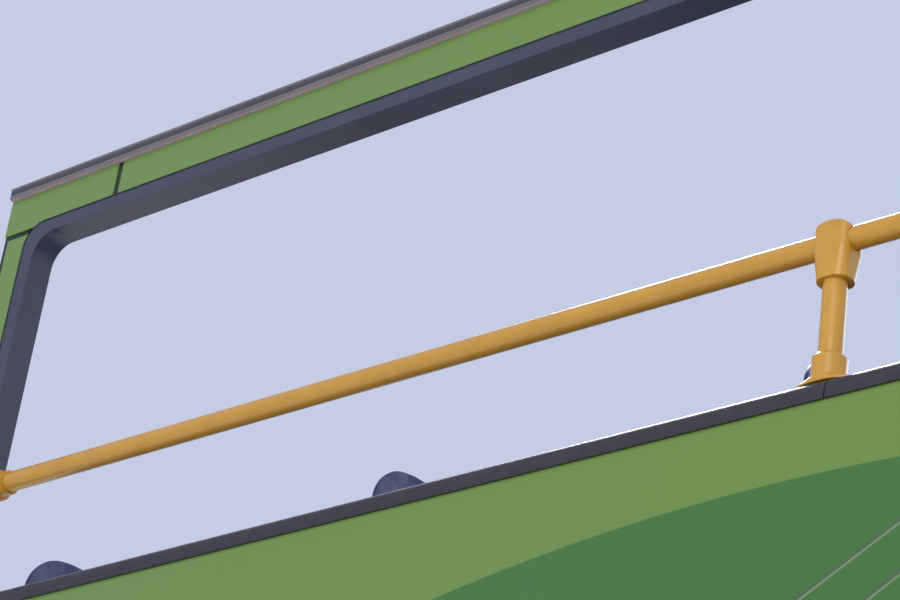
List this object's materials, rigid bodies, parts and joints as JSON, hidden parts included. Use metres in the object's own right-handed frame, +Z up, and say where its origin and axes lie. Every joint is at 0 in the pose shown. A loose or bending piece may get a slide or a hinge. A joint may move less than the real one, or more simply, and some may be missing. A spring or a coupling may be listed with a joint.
{
  "type": "upper deck bay section of an open top double decker bus",
  "caption": "Open top bus upper deck bay: deck on cross members, waist-high side walls with capping and handrail on a tee post, end pillars, cant rails with gutters, paired seats.",
  "frame": {"origin": "underside of the deck, in the middle of the bay, where the section sits on the pillars of the lower deck", "axes": "+X forward along the bus, +Y to its left, +Z up"},
  "size_m": [3.674, 2.512, 1.828],
  "materials": {
    "green_paint": "gloss",
    "lining_laminate": "satin",
    "charcoal_capping": "satin",
    "frame_paint": "satin",
    "window_frame_coat": "satin",
    "gutter_aluminium": "anodised",
    "amber_coat": "powder coated",
    "deck_plywood": "sealed",
    "floor_vinyl": "studded",
    "seat_shell_plastic": "moulded",
    "seat_pad_vinyl": "grained vinyl",
    "seat_frame_coat": "powder coated"
  },
  "bodies": {
    "root": {"cant_rail_left": "frame_paint", "cant_rail_right": "frame_paint", "deck_board": "deck_plywood", "deck_cross_members": "frame_paint", "deck_edge_rail_left": "frame_paint", "deck_edge_rail_right": "frame_paint", "drip_beads": "green_paint", "floor_covering": "floor_vinyl", "gutter_left": "gutter_aluminium", "gutter_right": "gutter_aluminium", "handrail_left": "amber_coat", "handrail_posts": "amber_coat", "handrail_right": "amber_coat", "handrail_sockets": "amber_coat", "handrail_tees": "amber_coat", "pillar_front_left": "frame_paint", "pillar_front_right": "frame_paint", "pillar_rear_left": "frame_paint", "pillar_rear_right": "frame_paint", "post_bases": "amber_coat", "seat_frames_row_1": "seat_frame_coat", "seat_frames_row_2": "seat_frame_coat", "seat_frames_row_3": "seat_frame_coat", "seat_frames_row_4": "seat_frame_coat", "seat_legs_left": "seat_frame_coat", "seat_legs_right": "seat_frame_coat", "seat_pads_row_1": "seat_pad_vinyl", "seat_pads_row_2": "seat_pad_vinyl", "seat_pads_row_3": "seat_pad_vinyl", "seat_pads_row_4": "seat_pad_vinyl", "seat_shells_row_1": "seat_shell_plastic", "seat_shells_row_2": "seat_shell_plastic", "seat_shells_row_3": "seat_shell_plastic", "seat_shells_row_4": "seat_shell_plastic", "side_lining_left": "lining_laminate", "side_lining_right": "lining_laminate", "side_skin_left": "green_paint", "side_skin_right": "green_paint", "upper_panels_left": "green_paint", "upper_panels_right": "green_paint", "waist_capping_left": "charcoal_capping", "waist_capping_right": "charcoal_capping", "waist_rail_left": "frame_paint", "waist_rail_right": "frame_paint", "wall_stanchion_left": "frame_paint", "wall_stanchion_right": "frame_paint", "window_frame_left": "window_frame_coat", "window_frame_right": "window_frame_coat"}
  },
  "joints": []
}
